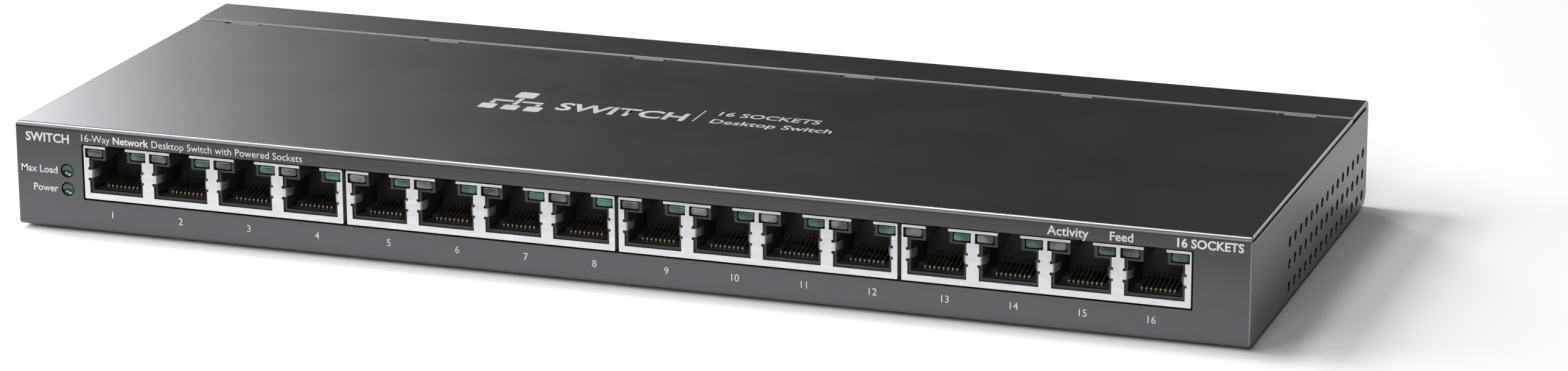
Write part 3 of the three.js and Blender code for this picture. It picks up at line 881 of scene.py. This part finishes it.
def make_screws():
    """Pan-head screws that hold the cover's flange from below."""
    for number, spot in enumerate(COVER_SCREWS, 1):
        low, high = node_mm(f"cover_screw_{number}")
        head = [(0, low.z), (1.6, low.z + 0.02), (2.3, low.z + 0.1), (2.65, low.z + 0.3)]
        head += [(2.75, low.z + 0.5), (2.75, low.z + 0.7)]
        thread = screw_thread(low.z + 0.8, high.z - 0.9)
        tip = [(1.3, high.z - 0.3), (0, high.z)]
        body = turned(head + thread + tip, spot.x, spot.y, 0)
        for arm in cross_recess(spot.x, spot.y, low.z - PAST, 1.5, 1.5):
            cut(body, arm)
        name = f"cover_screw_turned_{number}"
        finish_piece(body, name, [MATERIAL["zinc"]], [f"cover_screw_{number}"])


def make_feet():
    """Round stick-on feet with a shallow dish underneath."""
    edge = 0.55
    for number in range(1, 5):
        low, high = node_mm(f"foot_{number}")
        middle = (low + high) / 2
        radius = (high.x - low.x) / 2
        profile = [(0, 0.12), (1.2, 0.12), (1.5, 0.0), (radius - edge, 0.0)]
        profile += [(radius - edge + edge * math.sin(a), edge - edge * math.cos(a)) for a in QUARTER_TURN]
        profile += [(radius, high.z - 0.05), (radius - 0.08, high.z), (0, high.z)]
        body = turned(profile, middle.x, middle.y, 0)
        looks = [MATERIAL["rubber"]]
        finish_piece(body, f"foot_pad_{number}", looks, [f"foot_{number}"], ROUND_ANGLE)


def make_inlet():
    """Direct-current inlet: a moulded block with a round mouth and a centre pin."""
    barrel, mouth, pin_hole = 4.0, 3.2, 1.2  # radii
    mouth_floor = REAR - 10.2
    width, tall = (INLET_LOW.x, INLET_HIGH.x), (INLET_LOW.z, INLET_HIGH.z)
    body = solid(block(width, (INLET_LOW.y, REAR - 1.4), tall, 0.6))
    fuse(body, (circle(INLET_X, INLET_Z, barrel, 48), "y", REAR - 2, REAR - 0.2))
    cut(body, (circle(INLET_X, INLET_Z, mouth, 48), "y", mouth_floor, REAR + PAST))
    cut(body, (circle(INLET_X, INLET_Z, pin_hole, 24), "y", mouth_floor - 4, mouth_floor + 0.2))
    soften(body, 0.12, 3)
    finish_piece(body, "dc_inlet_body", [MATERIAL["black"]], ["dc_inlet"])
    low, high = node_mm("dc_inlet_pin")
    nose = high.y - 0.6
    profile = [(0, low.y), (1.0, low.y), (1.0, nose)]
    profile += [(1.0 - 0.5 * (1 - math.cos(a)), nose + 0.6 * math.sin(a)) for a in QUARTER_TURN]
    profile.append((0, high.y))
    pin = turned(profile, INLET_X, 0, INLET_Z, "y", 32)
    looks = [MATERIAL["zinc"]]
    finish_piece(pin, "dc_inlet_centre_pin", looks, ["dc_inlet_pin"], ROUND_ANGLE)


make_status_lights()
make_screws()
make_feet()
make_inlet()

# ------------------------------------------------------------------ printing
INK = 0.02
THIN, REGULAR, BOLD = 0.0, 0.02, 0.035  # how much a letter's strokes swell, as a share of its height
SIZE_PER_CAPITAL = 1.38  # font size over the height of a capital
SMALL = 1.7
NUMBER_Z = 4.35
LINE_Z = 21.7
# Turns of a shape drawn in the X-Y plane that stand it on the front panel or lay it on the top.
FACE_FRONT = Matrix(((1, 0, 0, 0), (0, 0, -1, 0), (0, 1, 0, 0), (0, 0, 0, 1)))
FACE_TOP = Matrix.Identity(4)


def text_mesh(text, height, weight):
    """Flat lettering as a work object in the X-Y plane, with capitals of the given height."""
    curve = bpy.data.curves.new("lettering", "FONT")
    curve.body = text
    curve.size = height * SIZE_PER_CAPITAL
    curve.extrude = INK
    curve.resolution_u = 3
    curve.offset = weight * height
    holder = link(curve, "lettering")
    graph = bpy.context.evaluated_depsgraph_get()
    mesh = bpy.data.meshes.new_from_object(holder.evaluated_get(graph), depsgraph=graph)
    drop(holder)
    weld(mesh)
    return link(mesh)


def lay(obj, name, place, face, look):
    """Turns a work object in the X-Y plane to its face, puts it in its place and finishes it as print."""
    obj.data.transform(face)
    obj.data.transform(Matrix.Translation(place))
    finish_piece(obj, name, [MATERIAL[look]])


def print_text(name, text, height, place, face, look="ink", align="left", weight=REGULAR):
    """Thin printed lettering on the front panel or the top."""
    obj = text_mesh(text, height, weight)
    xs = [vertex.co.x for vertex in obj.data.vertices]
    shift = {"left": -min(xs), "centre": -(min(xs) + max(xs)) / 2, "right": -max(xs)}[align]
    obj.data.transform(Matrix.Translation((shift, 0, 0)))
    lay(obj, name, place, face, look)


def print_shape(name, outlines, place, face, look):
    """Thin printed shape from outlines in the face's own plane."""
    lay(solid(*[(outline, "z", -INK, INK) for outline in outlines]), name, place, face, look)


def print_end(name):
    """Right-hand end of a printed piece, in millimetres."""
    return max(vertex.co.x for vertex in bpy.data.objects[name].data.vertices) / MM


def front_place(x, z):
    """Point on the front panel."""
    return (x, FRONT, z)


def top_place(x, y):
    """Point on the top panel."""
    return (x, y, COVER_TOP)


def number_shift(x):
    """How far a number stands to the right of its socket: most in the middle, less at the ends."""
    return 3.1 - 0.00027 * (x - 8) ** 2


def print_numbers():
    """A number under each socket."""
    places = [x for low, high in BLOCK_BOXES for x in port_places(low, high)]
    for number, x in enumerate(places, 1):
        place = front_place(x + number_shift(x), NUMBER_Z)
        print_text(f"number_{number}", str(number), SMALL, place, FACE_FRONT, align="centre", weight=THIN)


def print_description():
    """Line of generic words over the sockets, each word after the last."""
    edge = -126.5
    space = 0.75
    words = (("16-Way", THIN), ("Network", BOLD), ("Desktop Switch with Powered Sockets", THIN))
    for word, (text, weight) in enumerate(words, 1):
        name = f"label_description_{word}"
        print_text(name, text, SMALL, front_place(edge, LINE_Z + 0.05), FACE_FRONT, weight=weight)
        edge = print_end(name) + space


def make_front_print():
    """Numbers, the words at the status lights and the line of words over the sockets."""
    status_edge = STATUS_X - 2.4
    print_numbers()
    print_text("label_load", "Max Load", SMALL, front_place(status_edge, 13.65), FACE_FRONT, align="right")
    print_text("label_power", "Power", SMALL, front_place(status_edge, 9.35), FACE_FRONT, align="right")
    print_description()
    print_text("label_activity", "Activity", 2.1, front_place(107.9, LINE_Z), FACE_FRONT, align="right")
    print_text("label_feed", "Feed", 2.0, front_place(112.5, LINE_Z), FACE_FRONT)
    ports_place = front_place(141.3, LINE_Z)
    print_text("label_ports", "16 SOCKETS", 1.95, ports_place, FACE_FRONT, align="right", weight=BOLD)


def network_sign(size):
    """Generic sign: one box above joined by lines to three boxes below."""
    unit = size / 10

    def bar(u0, u1, v0, v1, radius=0.0):
        """Rectangle measured in tenths of the sign's size."""
        return rect(u0 * unit, u1 * unit, v0 * unit, v1 * unit, radius * unit)

    boxes = [bar(3.4, 6.6, 6.8, 10, 0.5)] + [bar(x, x + 2.6, 0, 2.6, 0.4) for x in (0, 3.7, 7.4)]
    lines = [bar(4.6, 5.4, 2.9, 6.5), bar(0.9, 4.3, 4.3, 5.1), bar(5.7, 9.1, 4.3, 5.1)]
    ends = [bar(0.9, 1.7, 2.9, 4.0), bar(8.3, 9.1, 2.9, 4.0)]
    return boxes + lines + ends


def make_sign_print():
    """Generic sign and words on the top panel, and the largest word again on the front."""
    divider = [rect(0, 0.35, 0, 9.2)]
    print_shape("top_sign", network_sign(15), top_place(-48.5, -12.5), FACE_TOP, "ink_grey")
    print_text("top_word", "SWITCH", 6.05, top_place(-31, -9), FACE_TOP, "ink_grey", weight=BOLD)
    print_shape("top_divider", divider, top_place(2.2, -8.5), FACE_TOP, "ink_grey")
    print_text("top_line_1", "16 SOCKETS", 3.3, top_place(6.3, -2.3), FACE_TOP, "ink_grey")
    print_text("top_line_2", "Desktop Switch", 3.3, top_place(6.3, -8.6), FACE_TOP, "ink_grey")
    print_text("front_word", "SWITCH", 2.1, front_place(-140.4, 20.9), FACE_FRONT, weight=BOLD)


make_front_print()
make_sign_print()

# ------------------------------------------------------------------ CAD nodes that stay
SLOT_OF = {entry["node"]: entry["material_slot"] for entry in frame["record"]["subparts"]}
for node_name, node in frame["nodes"].items():
    look = MATERIAL[SLOT_LOOK[SLOT_OF[node_name]]]
    if not node.data.materials:
        node.data.materials.append(look)
    for position in range(len(node.data.materials)):
        node.data.materials[position] = look

# ------------------------------------------------------------------ floor and light
# Metres and watts.
FLOOR_HALF = 15.0
WHITE = 0.92
CARD_GAP = 0.068
CARD_HALF = 1.2
CARD_DEPTH = 1.5
CARD_Z = 0.001


def flat_mesh(name, x, y, z):
    """One level rectangle from its ranges along X and Y."""
    mesh = bpy.data.meshes.new(name)
    corners = [(x[0], y[0], z), (x[1], y[0], z), (x[1], y[1], z), (x[0], y[1], z)]
    mesh.from_pydata(corners, [], [(0, 1, 2, 3)])
    return mesh


def make_floor():
    """Plain pale floor."""
    side = around(0, FLOOR_HALF)
    floor = link(flat_mesh("floor", side, side, 0), "floor")
    nodes = Nodes("floor_white", (WHITE, WHITE, WHITE), 0.9)
    nodes.shader.inputs["Specular IOR Level"].default_value = 0.1
    nodes.tone(nodes.noise(3, 2, 0.5), (WHITE - 0.01,) * 3, (WHITE + 0.01,) * 3)
    floor.data.materials.append(nodes.material)


def make_dark_card():
    """Black card on the floor in front. Only reflections see it: it darkens the front panel upwards."""
    near = FRONT * MM - CARD_GAP
    mesh = flat_mesh("dark_card", around(0, CARD_HALF), (near - CARD_DEPTH, near), CARD_Z)
    card = link(mesh, "dark_card")
    nodes = Nodes("card_black", (0.01, 0.01, 0.01), 0.9)
    nodes.shader.inputs["Specular IOR Level"].default_value = 0.0
    card.data.materials.append(nodes.material)
    card.visible_camera = False
    card.visible_diffuse = False
    card.visible_shadow = False
    card.visible_transmission = False


def area_light(name, place, size, power, target=(0, 0, 0), sheen_only=False):
    """Soft box. A sheen-only one shows in glossy reflections and lights nothing else."""
    data = bpy.data.lights.new(name, "AREA")
    data.shape = "RECTANGLE"
    data.size, data.size_y = size
    data.energy = power
    data.color = (0.975, 0.983, 1.0)
    light = link(data, name)
    light.location = place
    light.rotation_euler = (Vector(target) - Vector(place)).to_track_quat("-Z", "Y").to_euler()
    light.visible_diffuse = not sheen_only


def make_lighting():
    """Soft boxes around the object, and a faint cool glow from everywhere."""
    area_light("left_back", (-1.297, 1.519, 0.649), (0.183, 0.9), 7.3)
    area_light("left_back_inner", (-1.16, 1.626, 0.649), (0.183, 0.9), 4.9)
    area_light("left_high", (-1.5, 0.1, 1.7), (0.6, 0.6), 25)
    area_light("left_front", (-1.8, -0.6, 1.2), (0.8, 0.8), 16)
    area_light("front_left", (-1.2, -1.7, 1.6), (1.0, 1.0), 15.8)
    area_light("front", (0.3, -2.2, 1.3), (1.2, 1.2), 29)
    area_light("overhead", (-0.42, 0.2, 1.4), (0.35, 0.35), 6.4)
    area_light("bend_sheen", (0.05, 0.0, 1.4), (0.6, 1.3), 3.2, sheen_only=True)
    right_end = (0.14, 0, 0.02)
    area_light("right_edge_sheen", (0.67, 1.97, 0.53), (1.6, 0.6), 6, target=right_end, sheen_only=True)
    world = bpy.data.worlds.new("studio")
    world.use_nodes = True
    background = world.node_tree.nodes["Background"]
    background.inputs["Color"].default_value = (0.9, 0.93, 1.0, 1)
    background.inputs["Strength"].default_value = 0.004
    bpy.context.scene.world = world


make_floor()
make_dark_card()
make_lighting()
bpy.context.scene.view_settings.view_transform = "Standard"
